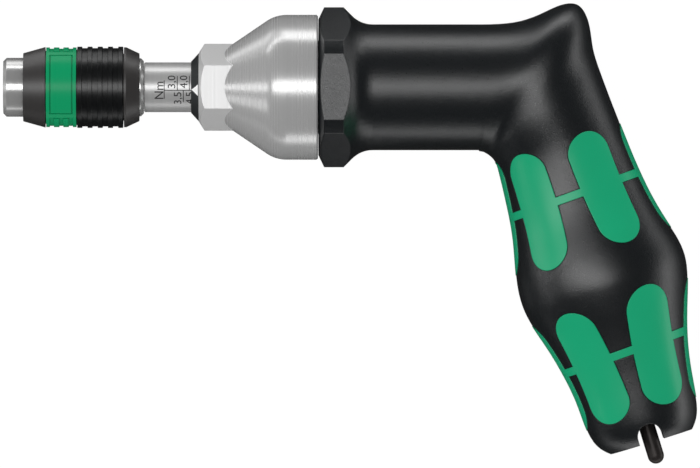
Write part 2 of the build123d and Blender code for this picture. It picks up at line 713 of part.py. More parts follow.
# Nut that holds the cam disc
with BuildPart() as shaft_nut:
    hexagon(cam_rear, nut_length, nut_flats)
    ring(cam_rear, nut_rear, 0, thread_radius, mode=Mode.SUBTRACT)

# Skins of the handle: the outside of the inserts and the floor of their pockets
insert_skin = hand_form(insert_proud)
pocket_core = hand_form(-insert_depth)

# Pockets of the two inserts
with BuildPart() as upper_pocket:
    insert_footprint(upper_side_pads, upper_edge_pads, upper_band)
    add(pocket_core, mode=Mode.SUBTRACT)
with BuildPart() as lower_pocket:
    insert_footprint(lower_side_pads, lower_edge_pads, lower_band)
    add(pocket_core, mode=Mode.SUBTRACT)

# Handle: twelve-sided collar, barrel, elbow and grip in one moulding
collar_flats = 2 * rest_height
collar_corners = 2 * (collar_flats / sqrt(3) - collar_corner_cut)
collar_front_radius = collar_flats / 2 - collar_front_drop
collar_rear_radius = collar_flats / 2 - collar_rear_drop
collar_length = collar_front_chamfer + collar_flat_length
key_way_radius = key_radius + running_gap
key_ring_groove = key_ring_radius + running_gap
neck_drop = collar_rear_radius - barrel_radius
collar_rear = handle_front + collar_length + (collar_corners / 2 - collar_rear_radius)
neck_end = collar_rear + sqrt(neck_radius**2 - (neck_radius - neck_drop) ** 2)
housing_seat = housing_rear + face_gap
hand_skin = hand_form(0)
with BuildPart() as handle_body:
    hexagon(handle_front, collar_rear - handle_front, collar_flats)
    hexagon(handle_front, collar_rear - handle_front, collar_corners, mode=Mode.INTERSECT, rotation=30)
    turn(
        (handle_front, 0), (handle_front, collar_front_radius),
        (handle_front + collar_front_chamfer, collar_corners / 2),
        (handle_front + collar_length, collar_corners / 2), (collar_rear, collar_rear_radius),
        (collar_rear, 0), mode=Mode.INTERSECT,
    )
    with BuildSketch(Plane.XY) as neck:
        with BuildLine():
            neck_arc = RadiusArc((collar_rear, collar_rear_radius), (neck_end, barrel_radius), -neck_radius)
            Line(neck_arc @ 1, (barrel_end, barrel_radius))
            Line((barrel_end, barrel_radius), (barrel_end, 0))
            Line((barrel_end, 0), (collar_rear, 0))
            Line((collar_rear, 0), neck_arc @ 0)
        make_face()
    revolve(neck.sketch, axis=Axis.X)
    add(hand_skin)
    add(upper_pocket.part, mode=Mode.SUBTRACT)
    add(lower_pocket.part, mode=Mode.SUBTRACT)
    ring(handle_front, housing_seat, 0, housing_radius, mode=Mode.SUBTRACT)
    ring(handle_front, handle_front + housing_flange, 0, housing_flange_radius, mode=Mode.SUBTRACT)
    with BuildSketch(Plane.YZ.offset(handle_front)) as screw_ways:
        with PolarLocations(screw_circle, screw_count, start_angle=30):
            Circle(screw_radius)
    extrude(screw_ways.sketch, amount=screw_head + screw_length, mode=Mode.SUBTRACT)
    with BuildSketch(Plane(butt, x_dir=grip_out, z_dir=grip_up)) as key_bore:
        Circle(key_way_radius)
    extrude(key_bore.sketch, amount=key_length - key_stands_out + key_bore_spare, mode=Mode.SUBTRACT)
    groove_foot = butt + grip_up * (key_ring_station - key_ring_groove)
    with BuildSketch(Plane(groove_foot, x_dir=grip_out, z_dir=grip_up)) as ring_groove:
        Circle(key_way_radius + 2 * key_ring_radius)
    extrude(ring_groove.sketch, amount=2 * key_ring_groove, mode=Mode.SUBTRACT)
    with BuildSketch(Plane(butt, x_dir=grip_out, z_dir=(0, 0, 1))) as butt_slot:
        slot_straight = butt_slot_depth - butt_slot_width / 2
        with Locations((0, (slot_straight - overshoot) / 2)):
            Rectangle(butt_slot_width, slot_straight + overshoot)
        with Locations((0, slot_straight)):
            Circle(butt_slot_width / 2)
    extrude(butt_slot.sketch, amount=barrel_radius, both=True, mode=Mode.SUBTRACT)

# Soft inserts that fill the pockets
with BuildPart() as upper_grip_insert:
    add(upper_pocket.part)
    add(insert_skin, mode=Mode.INTERSECT)
with BuildPart() as lower_grip_insert:
    add(lower_pocket.part)
    add(insert_skin, mode=Mode.INTERSECT)

# Key stored in the grip, with a domed end to pull it out by
with BuildPart() as setting_key:
    key_foot = butt - grip_up * (key_stands_out - key_radius)
    with BuildSketch(Plane(key_foot, x_dir=grip_out, z_dir=grip_up)) as rod:
        Circle(key_radius)
    extrude(rod.sketch, amount=key_length - key_radius - key_hex_length)
    with Locations(key_foot):
        Sphere(key_radius)
    key_shoulder = butt + grip_up * (key_length - key_stands_out - key_hex_length)
    with BuildSketch(Plane(key_shoulder, x_dir=grip_out, z_dir=grip_up)) as hex_end:
        RegularPolygon(key_socket_flats / 2, 6, major_radius=False)
    extrude(hex_end.sketch, amount=key_hex_length)

# Rubber ring in the bore that grips the key
ring_plane = Plane(butt + grip_up * key_ring_station, x_dir=grip_out, z_dir=(0, 0, 1))
with BuildPart() as key_grip_ring:
    with BuildSketch(ring_plane) as grip_ring_section:
        with Locations((key_radius + running_gap / 2 + key_ring_radius, 0)):
            Circle(key_ring_radius)
    revolve(grip_ring_section.sketch, axis=Axis(butt, grip_up))

pieces = {
    "handle_body": handle_body,
    "upper_grip_insert": upper_grip_insert, "lower_grip_insert": lower_grip_insert,
    "setting_key": setting_key, "key_grip_ring": key_grip_ring, "mechanism_housing": mechanism_housing,
    "housing_screws": housing_screws, "housing_end_plug": housing_end_plug, "tube_guide_pin": tube_guide_pin,
    "cap_snap_ring": cap_snap_ring, "cap_friction_ring": cap_friction_ring,
    "cap_thrust_washer": cap_thrust_washer, "setting_cap": setting_cap, "pointer_ring": pointer_ring,
    "scale_tube": scale_tube, "front_bush": front_bush, "rear_bush": rear_bush,
    "front_spring_washer": front_spring_washer, "torque_spring": torque_spring,
    "rear_spring_washer": rear_spring_washer, "clutch_ring": clutch_ring, "clutch_balls": clutch_balls,
    "cam_disc": cam_disc, "shaft_nut": shaft_nut, "drive_shaft": drive_shaft, "thrust_collar": thrust_collar,
    "chuck_cross_pin": chuck_cross_pin, "chuck_body": chuck_body, "bit_magnet": bit_magnet,
    "lock_ball": lock_ball, "chuck_circlip": chuck_circlip, "sleeve_spring": sleeve_spring,
    "slide_bush": slide_bush, "spring_stop": spring_stop, "sleeve_nose": sleeve_nose,
    "colour_ring": colour_ring, "grip_sleeve": grip_sleeve, "sleeve_tail": sleeve_tail,
}
for name, piece in pieces.items():
    piece.part.label = name
    export_step(piece.part, f"parts/{name}.step")
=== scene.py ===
"""Pistol-grip torque screwdriver, dressed for a studio photograph from straight above.

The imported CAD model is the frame. The drive axis is X, the grip leans down and back in the XY plane,
and the tool lies on its side on a pale floor. The tool's lengths are in millimetres and are turned
into metres where a piece is placed. The lengths of the floor and the studio are in metres.
"""

from math import cos, pi, radians, sin

import bmesh
import bpy
from mathutils import Matrix, Vector


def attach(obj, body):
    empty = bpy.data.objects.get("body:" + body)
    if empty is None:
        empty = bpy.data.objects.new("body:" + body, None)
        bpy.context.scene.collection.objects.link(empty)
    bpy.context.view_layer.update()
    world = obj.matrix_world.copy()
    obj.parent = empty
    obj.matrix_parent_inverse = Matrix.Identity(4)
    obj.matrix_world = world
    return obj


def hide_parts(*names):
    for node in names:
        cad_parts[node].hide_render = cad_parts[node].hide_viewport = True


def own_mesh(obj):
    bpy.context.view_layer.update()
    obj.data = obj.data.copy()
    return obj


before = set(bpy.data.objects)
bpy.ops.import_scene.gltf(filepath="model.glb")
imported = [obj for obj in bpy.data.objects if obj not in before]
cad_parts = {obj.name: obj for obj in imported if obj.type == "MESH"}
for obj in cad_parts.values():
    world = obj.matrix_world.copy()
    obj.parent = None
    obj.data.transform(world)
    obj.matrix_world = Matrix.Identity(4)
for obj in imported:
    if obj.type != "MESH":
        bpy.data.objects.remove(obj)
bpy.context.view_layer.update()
mm = 0.001


# Handle: collar, barrel, elbow and grip are one moulding in black glass-filled nylon.
# The mould is etched all over with a fine grain, which breaks its sheen into small soft grains.
class Field:
    """One output of a node, so that shader maths reads as plain arithmetic."""

    def __init__(self, nodes, socket):
        self.nodes = nodes
        self.socket = socket

    def maths(self, operation, *values):
        return self.nodes.node("ShaderNodeMath", {"operation": operation}, dict(enumerate(values)))

    def __add__(self, other):
        return self.maths("ADD", self, other)

    def __radd__(self, other):
        return self.maths("ADD", other, self)

    def __sub__(self, other):
        return self.maths("SUBTRACT", self, other)

    def __rsub__(self, other):
        return self.maths("SUBTRACT", other, self)

    def __mul__(self, other):
        return self.maths("MULTIPLY", self, other)

    def __rmul__(self, other):
        return self.maths("MULTIPLY", other, self)

    def __abs__(self):
        return self.maths("ABSOLUTE", self)

    def larger(self, other):
        return self.maths("MAXIMUM", self, other)


class Nodes:
    """The shader nodes of a finish, or of the room."""

    def __init__(self, tree):
        self.tree = tree

    def node(self, kind, settings, sockets, output=0):
        """Adds a node, sets it, fills its sockets with values or links, and gives one of its outputs."""
        made = self.tree.nodes.new(kind)
        for name, value in settings.items():
            setattr(made, name, value)
        for key, value in sockets.items():
            if isinstance(value, Field):
                self.tree.links.new(value.socket, made.inputs[key])
            else:
                made.inputs[key].default_value = value
        return Field(self, made.outputs[output])

    def show(self, light, ending):
        """Sends a shader to the node that ends the tree."""
        self.tree.links.new(light.socket, ending.inputs["Surface"])


class Finish(Nodes):
    """A surface finish: constants on the shader's own sockets, and nodes for what changes over it."""

    def __init__(self, name, constants):
        self.material = bpy.data.materials.new(name)
        self.material.use_nodes = True
        super().__init__(self.material.node_tree)
        self.shader = self.tree.nodes["Principled BSDF"]
        for socket, value in constants.items():
            self.shader.inputs[socket].default_value = value
        self.place = self.node("ShaderNodeTexCoord", {}, {}, "Object")

    def coordinate(self, axis):
        """The place along one axis, in metres."""
        return self.node("ShaderNodeSeparateXYZ", {}, {0: self.place}, axis)

    def cloud(self, size, detail=2.0, sharpness=0.5):
        """Soft noise from 0 to 1 whose grains are about the given size in millimetres."""
        sockets = {"Vector": self.place, "Scale": 1 / (size * mm), "Detail": detail, "Roughness": sharpness}
        return self.node("ShaderNodeTexNoise", {}, sockets)

    def rings(self, pitch, detail=2.0):
        """Noise from 0 to 1 that changes along the drive axis only, about once in each pitch."""
        sockets = {"W": self.coordinate("X"), "Scale": 1 / (pitch * mm), "Detail": detail}
        return self.node("ShaderNodeTexNoise", {"noise_dimensions": "1D"}, sockets)

    def between(self, amount, low, high, first=0.3, last=0.7):
        """Goes from low to high as the amount goes from first to last, a noise's middle if not said."""
        sockets = {"Value": amount, "From Min": first, "From Max": last, "To Min": low, "To Max": high}
        return self.node("ShaderNodeMapRange", {}, sockets)

    def mixed(self, amount, first, second):
        """A colour between the first and the second, on the node's own sockets for colours."""
        return self.node("ShaderNodeMix", {"data_type": "RGBA"}, {0: amount, 6: first, 7: second}, 2)

    def vector(self, operation, sockets, output=0):
        """Maths on vectors."""
        return self.node("ShaderNodeVectorMath", {"operation": operation}, sockets, output)

    def feed(self, socket, field):
        self.tree.links.new(field.socket, self.shader.inputs[socket])

    def coloured(self, amount, first, second):
        """Colours the piece between the first and the second."""
        self.feed("Base Color", self.mixed(amount, first, second))

    def roughened(self, amount, low, high):
        """Lets the roughness follow a noise from low to high."""
        self.feed("Roughness", self.between(amount, low, high))

    def relief(self, height, depth, edge=0.0):
        """Presses a height pattern into the surface, with edges rounded as the light sees them."""
        sockets = {"Height": height, "Distance": depth * mm, "Strength": 1.0}
        if edge:
            sockets["Normal"] = self.node("ShaderNodeBevel", {"samples": 4}, {"Radius": edge * mm})
        self.feed("Normal", self.node("ShaderNodeBump", {}, sockets))

    def cover(self, *names):
        """Puts the finish on CAD nodes."""
        for name in names:
            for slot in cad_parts[name].material_slots:
                slot.material = self.material


moulding = Finish("black_moulding", {"IOR": 1.6, "Specular IOR Level": 0.78})
etch = moulding.cloud(0.24, detail=2.0, sharpness=0.6)
flow = moulding.cloud(14.0, detail=1.0)
moulding.coloured(flow, (0.0045, 0.0066, 0.0084, 1), (0.0060, 0.0082, 0.0100, 1))
moulding.roughened(etch, 0.27, 0.35)
moulding.relief(etch, depth=0.042, edge=0.4)
moulding.cover("handle_body")


# Grip inserts: soft green elastomer, moulded into pockets of the handle.
# They are smooth to the touch, with a faint satin skin.
soft_green = Finish("soft_green", {"IOR": 1.5, "Specular IOR Level": 0.47})
skin = soft_green.cloud(0.22, detail=2.0)
fade = soft_green.cloud(9.0, detail=1.0)
soft_green.coloured(fade, (0.0001, 0.358, 0.162, 1), (0.0002, 0.388, 0.178, 1))
soft_green.roughened(skin, 0.28, 0.35)
soft_green.relief(skin, depth=0.006, edge=0.3)
soft_green.cover("upper_grip_insert", "lower_grip_insert")


# Setting key: a steel rod with a domed end, blackened by an oiled oxide, and gripped in its bore by a ring
# of black rubber. The housing's screws, the cap's snap ring and the chuck's clip are blackened as well,
# and the cap's friction ring is of the same rubber.
oxide = Finish("blackened_steel", {"IOR": 1.5, "Metallic": 0.55})
bloom = oxide.cloud(1.6, detail=4.0, sharpness=0.6)
oxide.coloured(bloom, (0.030, 0.025, 0.024, 1), (0.060, 0.053, 0.050, 1))
oxide.roughened(bloom, 0.30, 0.46)
oxide.relief(oxide.cloud(0.25, detail=2.0), depth=0.004, edge=0.2)
oxide.cover("setting_key", "housing_screws", "cap_snap_ring", "chuck_circlip")

rubber = Finish("black_rubber", {"IOR": 1.5, "Specular IOR Level": 0.35})
chalk = rubber.cloud(0.5, detail=4.0)
rubber.coloured(chalk, (0.010, 0.010, 0.010, 1), (0.022, 0.022, 0.021, 1))
rubber.roughened(chalk, 0.62, 0.80)
rubber.relief(chalk, depth=0.008)
rubber.cover("key_grip_ring", "cap_friction_ring")


# Mechanism: the housing with its end plug, pin, washers, clutch ring, cam disc, nut and shaft, and the
# small hidden pieces of the chuck. All look like ground or turned steel, grey with a trace of oil.
ground = Finish("ground_steel", {"Metallic": 1.0})
oil = ground.cloud(2.5, detail=3.0)
ground.coloured(oil, (0.42, 0.415, 0.405, 1), (0.55, 0.545, 0.535, 1))
ground.roughened(oil, 0.22, 0.36)
ground.relief(ground.cloud(0.12, detail=2.0), depth=0.002, edge=0.12)
ground.cover(
    "mechanism_housing", "housing_end_plug", "tube_guide_pin", "cap_thrust_washer", "front_spring_washer",
    "rear_spring_washer", "clutch_ring", "cam_disc", "shaft_nut", "drive_shaft", "chuck_cross_pin",
    "slide_bush", "spring_stop", "bit_magnet",
)


# Springs of the torque mechanism and of the chuck's sleeve: coils of drawn steel, slightly blue.
# Each gives way to a copy of it, set on the body it rides with. The balls of the clutch and of the chuck
# are polished bearing balls.
spring_wire = Finish("spring_wire", {"Metallic": 1.0})
drawn = spring_wire.cloud(0.4, detail=3.0)
spring_wire.coloured(drawn, (0.20, 0.215, 0.24, 1), (0.31, 0.32, 0.34, 1))
spring_wire.roughened(drawn, 0.26, 0.40)
spring_wire.cover("torque_spring", "sleeve_spring")


def shortens(name, body):
    """Stands a copy of a spring in for it, set on the given body."""
    coils = bpy.data.objects.new(name + "_coils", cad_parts[name].data.copy())
    bpy.context.scene.collection.objects.link(coils)
    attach(coils, body)
    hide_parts(name)
    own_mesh(coils)


shortens("torque_spring", "handle")
shortens("sleeve_spring", "drive")

ball_steel = Finish("ball_steel", {"Metallic": 1.0})
haze = ball_steel.cloud(0.8, detail=2.0)
ball_steel.coloured(haze, (0.60, 0.60, 0.60, 1), (0.68, 0.68, 0.675, 1))
ball_steel.roughened(haze, 0.06, 0.12)
ball_steel.cover("clutch_balls", "lock_ball")


# Bushes: two sleeves of sintered bronze in the scale tube, which carry the drive shaft.
# They are soaked in oil, and their open pores show as dark grains.
bronze = Finish("sintered_bronze", {"Metallic": 1.0})
pores = bronze.cloud(0.18, detail=3.0, sharpness=0.7)
bronze.coloured(pores, (0.32, 0.185, 0.085, 1), (0.56, 0.36, 0.18, 1))
bronze.roughened(pores, 0.34, 0.52)
bronze.relief(pores, depth=0.006)
bronze.cover("front_bush", "rear_bush")


# Scale tube: steel, ground round and satin chromed, with its scale printed in black.
# The unit stands in front of a crossbar, and a line runs from there along the tube. Every half newton metre
# has a mark and a number, on the one side of that line and on the other in turn.
fine_pitch = 0.14         # the pitch of a tool's fine rings, as a share of its broad ones


def lathe_lines(finish, pitch):
    """Rings that a tool leaves round the drive axis: fine ones of the given pitch, and broad ones."""
    return 0.5 * finish.rings(pitch, detail=3.0) + 0.5 * finish.rings(pitch / fine_pitch, detail=1.0)


satin_chrome = Finish("satin_chrome", {"Metallic": 0.60})
tube_rings = lathe_lines(satin_chrome, pitch=0.09)
satin_chrome.coloured(tube_rings, (0.62, 0.62, 0.62, 1), (0.73, 0.73, 0.725, 1))
satin_chrome.roughened(tube_rings, 0.32, 0.40)
satin_chrome.relief(tube_rings, depth=0.0018, edge=0.1)
satin_chrome.cover("scale_tube")

print_lift = 0.013        # how far the ink stands on the metal
print_sunk = 0.03         # how far its back reaches into the metal
cut_pitch = 0.22          # the print is cut this finely so that it bends round the tube
weld_reach = 1e-5         # corners this close are one corner
letter_steps = 3          # straight steps in each curve of a letter
foot_play = 0.03          # of a letter's size: a foot may hang this low, and a comma's tail hangs lower

# Places across the print are arcs from the top of the tube, and places along it are stations.
tube_radius = 5.62
scale_pitch = 1.36        # from one mark to the next
first_mark = 39.30        # station of the mark for 3,0
line_width = 0.17
axis_line = -0.74         # the line along the tube
line_start, line_end = 36.35, 48.3
crossbar = (-2.72, 1.50)  # the arcs of its ends
unit_foot, unit_left = 36.16, -2.75
unit_height, unit_width = 2.0, 3.95
number_height, number_width = 1.77, 2.95
number_drop = 0.38        # how far a number's foot lies in front of its mark
space_above, space_below = 0.49, 0.42       # from the line to the numbers above and below it
mark_above, mark_below = 3.35, 2.9          # lengths of the marks above and below it


def bend_round(shape, radius_at):
    """Bends a flat shape, x along the drive axis and y along the arc, round the tube or pointer ring."""
    low = min(corner.co.y for corner in shape.verts)
    high = max(corner.co.y for corner in shape.verts)
    cuts = int((high - low) / cut_pitch)
    for step in range(1, cuts + 1):
        everything = shape.verts[:] + shape.edges[:] + shape.faces[:]
        cut = low + step * (high - low) / (cuts + 1)
        bmesh.ops.bisect_plane(
            shape, geom=everything, dist=weld_reach, plane_co=(0, cut, 0), plane_no=(0, 1, 0)
        )
    for corner in shape.verts:
        station, arc = corner.co.x, corner.co.y
        radius = radius_at(station)
        angle = arc / tube_radius
        corner.co = Vector((station, radius * sin(angle), radius * cos(angle))) * mm


def inked(name, shape, body, finish, radius_at):
    """Makes a printed piece from a flat shape: bent, given a back inside the metal, and set on its body."""
    bend_round(shape, radius_at)
    copied = bmesh.ops.extrude_face_region(shape, geom=shape.faces[:], use_keep_orig=True)
    for item in copied["geom"]:
        if isinstance(item, bmesh.types.BMVert):
            inward = Vector((0, -item.co.y, -item.co.z)).normalized()
            item.co += inward * (print_lift + print_sunk) * mm
    bmesh.ops.recalc_face_normals(shape, faces=shape.faces)
    mesh = bpy.data.meshes.new(name)
    shape.to_mesh(mesh)
    shape.free()
    piece = bpy.data.objects.new(name, mesh)
    bpy.context.scene.collection.objects.link(piece)
    mesh.materials.append(finish.material)
    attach(piece, body)


def lettering(shape, words, foot, left, height, width):
    """Adds words that read along the arc, with their feet at a station and their left end at an arc."""
    curve = bpy.data.curves.new(words, "FONT")
    curve.body = words
    curve.resolution_u = letter_steps
    sample = bpy.data.objects.new(words, curve)
    bpy.context.scene.collection.objects.link(sample)
    flat = bpy.data.meshes.new_from_object(sample.evaluated_get(bpy.context.evaluated_depsgraph_get()))
    bpy.data.objects.remove(sample)
    letters = bmesh.new()
    letters.from_mesh(flat)
    bmesh.ops.remove_doubles(letters, verts=letters.verts, dist=weld_reach)
    heights = [corner.co.y for corner in letters.verts if corner.co.y >= -foot_play]
    sides = [corner.co.x for corner in letters.verts]
    bmesh.ops.translate(letters, verts=letters.verts, vec=(-min(sides), -min(heights), 0))
    wider, taller = width / (max(sides) - min(sides)), height / (max(heights) - min(heights))
    quarter_turn = Matrix.Translation((foot, left, 0)) @ Matrix.Rotation(radians(90), 4, "Z")
    bmesh.ops.transform(
        letters, verts=letters.verts, matrix=quarter_turn @ Matrix.Diagonal((wider, taller, 1, 1))
    )
    placed = bpy.data.meshes.new(words)
    letters.to_mesh(placed)
    letters.free()
    shape.from_mesh(placed)


def stroke(shape, start, end, left, right):
    """Adds a printed line as a flat bar between two stations and two arcs."""
    middle = Matrix.Translation(((start + end) / 2, (left + right) / 2, 0))
    size = Matrix.Diagonal((end - start, right - left, 1, 1))
    bmesh.ops.create_grid(shape, x_segments=1, y_segments=1, size=1 / 2, matrix=middle @ size)


def on_tube(station):
    """The ink's radius on the tube, which is the same all along it."""
    return tube_radius + print_lift


ink = Finish("black_ink", {"IOR": 1.45, "Specular IOR Level": 0.4})
ink_wear = ink.cloud(0.3, detail=3.0)
ink.coloured(ink_wear, (0.010, 0.010, 0.011, 1), (0.030, 0.030, 0.031, 1))
ink.roughened(ink_wear, 0.38, 0.55)

scale = bmesh.new()
lettering(scale, "Nm", unit_foot, unit_left, unit_height, unit_width)
stroke(scale, line_start - line_width / 2, line_start + line_width / 2, *crossbar)
stroke(scale, line_start, line_end, axis_line - line_width / 2, axis_line + line_width / 2)
for step, words in enumerate(("3,0", "3,5", "4,0", "4,5", "5,0", "5,5", "6,0")):
    mark = first_mark + step * scale_pitch
    if step % 2 == 0:
        number_left = axis_line + space_above
        mark_left, mark_right = axis_line, axis_line + mark_above
    else:
        number_left = axis_line - space_below - number_width
        mark_left, mark_right = axis_line - mark_below, axis_line
    lettering(scale, words, mark - number_drop, number_left, number_height, number_width)
    stroke(scale, mark - line_width / 2, mark + line_width / 2, mark_left, mark_right)
inked("scale_print", scale, "carriage", ink, on_tube)


# Setting cap: a bell turned from aluminium bar, with a hexagon milled on its neck for a wrench.
# The tool's fine rings run round it and stretch its highlights along the cone.
# The milled flats have no rings and are a little rougher.
hex_half = 8.51           # half the width across the flats, and a hair more
flat_fade = 0.08          # outside the flats, the rings set in over this distance
turned_aluminium = Finish("turned_aluminium", {})
cap_rings = lathe_lines(turned_aluminium, pitch=0.07)
tool_marks = turned_aluminium.rings(0.42)
side = turned_aluminium.coordinate("Y") * sin(pi / 3)
height = turned_aluminium.coordinate("Z")
rising, falling = side + height * cos(pi / 3), side - height * cos(pi / 3)
flat_distance = abs(height).larger(abs(rising)).larger(abs(falling))
milled = turned_aluminium.between(flat_distance, 1, 0, hex_half * mm, (hex_half + flat_fade) * mm)
turned = turned_aluminium.mixed(cap_rings, (0.58, 0.58, 0.58, 1), (0.64, 0.64, 0.64, 1))
turned_aluminium.coloured(milled, turned, (0.74, 0.74, 0.74, 1))
turned_aluminium.feed("Metallic", 0.50 - 0.05 * milled)
turned_aluminium.feed("Roughness", turned_aluminium.between(tool_marks, 0.21, 0.28) + 0.16 * milled)
turned_aluminium.relief(cap_rings * (1 - milled), depth=0.0011, edge=0.25)
turned_aluminium.cover("setting_cap")


# Pointer ring: a cone turned from steel and blackened, and pressed into the front of the cap.
# A white pointer is printed on it, and shows the setting on the tube's scale.
blackened = Finish("blackened_ring", {"IOR": 1.6})
pointer_rings = lathe_lines(blackened, pitch=0.10)
blackened.coloured(pointer_rings, (0.018, 0.021, 0.023, 1), (0.026, 0.029, 0.031, 1))
blackened.roughened(pointer_rings, 0.34, 0.44)
blackened.relief(pointer_rings, depth=0.0015, edge=0.12)
blackened.cover("pointer_ring")

white_ink = Finish("white_ink", {"IOR": 1.45})
white_wear = white_ink.cloud(0.3, detail=2.0)
white_ink.coloured(white_wear, (0.95, 0.95, 0.95, 1), (1.0, 1.0, 1.0, 1))
white_ink.roughened(white_wear, 0.40, 0.55)

ring_front, ring_rear = 42.4, 44.1
ring_front_radius, ring_rear_radius = 5.82, 7.7
pointer_tip, pointer_base = 42.45, 43.95
pointer_middle, pointer_half = -0.55, 0.98


def on_ring(station):
    """The ink's radius on the cone of the pointer ring."""
    share = (station - ring_front) / (ring_rear - ring_front)
    return ring_front_radius + share * (ring_rear_radius - ring_front_radius) + print_lift


pointer = bmesh.new()
pointer.faces.new([
    pointer.verts.new((pointer_tip, pointer_middle, 0)),
    pointer.verts.new((pointer_base, pointer_middle - pointer_half, 0)),
    pointer.verts.new((pointer_base, pointer_middle + pointer_half, 0)),
])
inked("pointer_mark", pointer, "cap", white_ink, on_ring)


# Chuck body and thrust collar: hardened steel, turned and polished bright.
# The polish leaves a trace of the tool's rings, and use has dulled it unevenly.
polished = Finish("polished_steel", {"Metallic": 0.70})
nose_rings = lathe_lines(polished, pitch=0.16)
handling = polished.cloud(0.9, detail=5.0, sharpness=0.7)
polished.coloured(nose_rings, (0.64, 0.64, 0.635, 1), (0.74, 0.74, 0.735, 1))
polished.roughened(handling, 0.17, 0.26)
polished.relief(nose_rings, depth=0.0008, edge=0.12)
polished.cover("chuck_body", "thrust_collar")


# Quick-release sleeve: front cone, ribbed grip and rear cone, all black anodised aluminium.
# The cones are a little brown and keep a faint turned texture. The ribs are smooth and deep black, and
# their normals are worked out from their slope along the axis, which hides the facets round them.
black_anodised = Finish("black_anodised", {"IOR": 1.6, "Specular IOR Level": 0.9})
sleeve_rings = lathe_lines(black_anodised, pitch=0.10)
black_anodised.coloured(sleeve_rings, (0.024, 0.0215, 0.021, 1), (0.033, 0.030, 0.029, 1))
black_anodised.roughened(sleeve_rings, 0.38, 0.47)
black_anodised.relief(sleeve_rings, depth=0.0015, edge=0.12)
black_anodised.cover("sleeve_nose", "sleeve_tail")

ribbed = Finish("ribbed_black", {"IOR": 1.6, "Specular IOR Level": 0.55})
rib_haze = ribbed.cloud(0.5, detail=3.0)
ribbed.coloured(rib_haze, (0.0020, 0.0028, 0.0034, 1), (0.0032, 0.0040, 0.0046, 1))
ribbed.roughened(rib_haze, 0.29, 0.35)
facing = ribbed.node("ShaderNodeTexCoord", {}, {}, "Normal")
slope = ribbed.node("ShaderNodeSeparateXYZ", {}, {0: facing}, "X")
square_root = {"operation": "SQRT", "use_clamp": True}
radial_share = ribbed.node("ShaderNodeMath", square_root, {0: 1 - slope * slope})
off_axis = ribbed.vector("MULTIPLY", {0: ribbed.place, 1: (0, 1, 1)})
outward = ribbed.vector("NORMALIZE", {0: off_axis})
radial = ribbed.vector("SCALE", {0: outward, "Scale": radial_share})
sideways = ribbed.node("ShaderNodeCombineXYZ", {}, {0: slope})
rib_normal = ribbed.vector("ADD", {0: radial, 1: sideways})
into_world = {"vector_type": "NORMAL", "convert_from": "OBJECT", "convert_to": "WORLD"}
ribbed.feed("Normal", ribbed.node("ShaderNodeVectorTransform", into_world, {0: rib_normal}))
ribbed.cover("grip_sleeve")


# Colour ring of the sleeve: green anodised aluminium, engraved with frames and small tiles.
# It is turned, and keeps a faint trace of the tool's rings.
green_anodised = Finish("green_anodised", {"IOR": 1.45, "Specular IOR Level": 0.25})
ring_lines = lathe_lines(green_anodised, pitch=0.10)
green_anodised.coloured(ring_lines, (0.0003, 0.285, 0.108, 1), (0.0006, 0.315, 0.122, 1))
green_anodised.roughened(ring_lines, 0.26, 0.36)
green_anodised.relief(ring_lines, depth=0.0012, edge=0.1)
green_anodised.cover("colour_ring")


# Floor: a wide sheet of pale paper that the tool lies on, with the tool's shadow.
# The camera sees it brighter than its light makes it. Mirrors see a painted glow on it instead: painted
# shade round the tool, brighter farther out, and painted highlight patches where white cards would stand.
floor_middle = (0.078, -0.033)
floor_drop = -16.47       # just under the tool, in millimetres
floor_width = 4.0
paper_shape = bmesh.new()
bmesh.ops.create_grid(
    paper_shape, x_segments=1, y_segments=1, size=floor_width / 2,
    matrix=Matrix.Translation((*floor_middle, floor_drop * mm)),
)
paper_mesh = bpy.data.meshes.new("paper_floor")
paper_shape.to_mesh(paper_mesh)
paper_shape.free()
paper_floor = bpy.data.objects.new("paper_floor", paper_mesh)
bpy.context.scene.collection.objects.link(paper_floor)

paper = Finish("pale_paper", {"Roughness": 0.9, "Specular IOR Level": 0.1})
fibre = paper.cloud(3.0, detail=3.0)
paper.coloured(fibre, (0.86, 0.86, 0.86, 1), (0.88, 0.88, 0.88, 1))
station, across = paper.coordinate("X"), paper.coordinate("Y")
band_fade = 0.01          # how softly a patch ends along the drive axis


def spot(x, y, inside, outside, first, last):
    """A painted glow that mirrors see on the paper round a point: one value near it, and another beyond a
    distance.
    """
    away = paper.vector("DISTANCE", {0: paper.place, 1: (x, y, 0)}, "Value")
    return paper.between(away, inside, outside, first, last)


def stretch(start, end):
    """One between two stations along the drive axis, and zero beyond them."""
    begun = paper.between(station, 0, 1, start - band_fade, start)
    going_on = paper.between(station, 1, 0, end, end + band_fade)
    return begun * going_on


# Painted reflections: glows that only mirrors see, dark round the tool and bright in patches beyond it.
painted_shade_and_glow_round_tool = spot(*floor_middle, inside=0.03, outside=1.1, first=0.10, last=0.24)
behind_nose = paper.between(station, 0, 1, -0.15, 0.0)
painted_cone_highlight = spot(0.0, 0.068, inside=1.2, outside=0, first=0.022, last=0.045)
painted_far_collar_highlight = spot(0.079, 0.056, inside=0.36, outside=0, first=0.012, last=0.022)
painted_near_collar_highlight = spot(0.079, -0.056, inside=0.38, outside=0, first=0.012, last=0.022)
painted_far_side_sheen = paper.between(across, 0, 1.3, 0.10, 0.22) * stretch(0.03, 0.20)
painted_near_side_sheen = paper.between(across, 0.75, 0, -0.22, -0.10) * stretch(0.062, 0.15)
painted_reflection_strength = (
    painted_shade_and_glow_round_tool * behind_nose + painted_cone_highlight + painted_far_collar_highlight + painted_near_collar_highlight + painted_far_side_sheen + painted_near_side_sheen
)

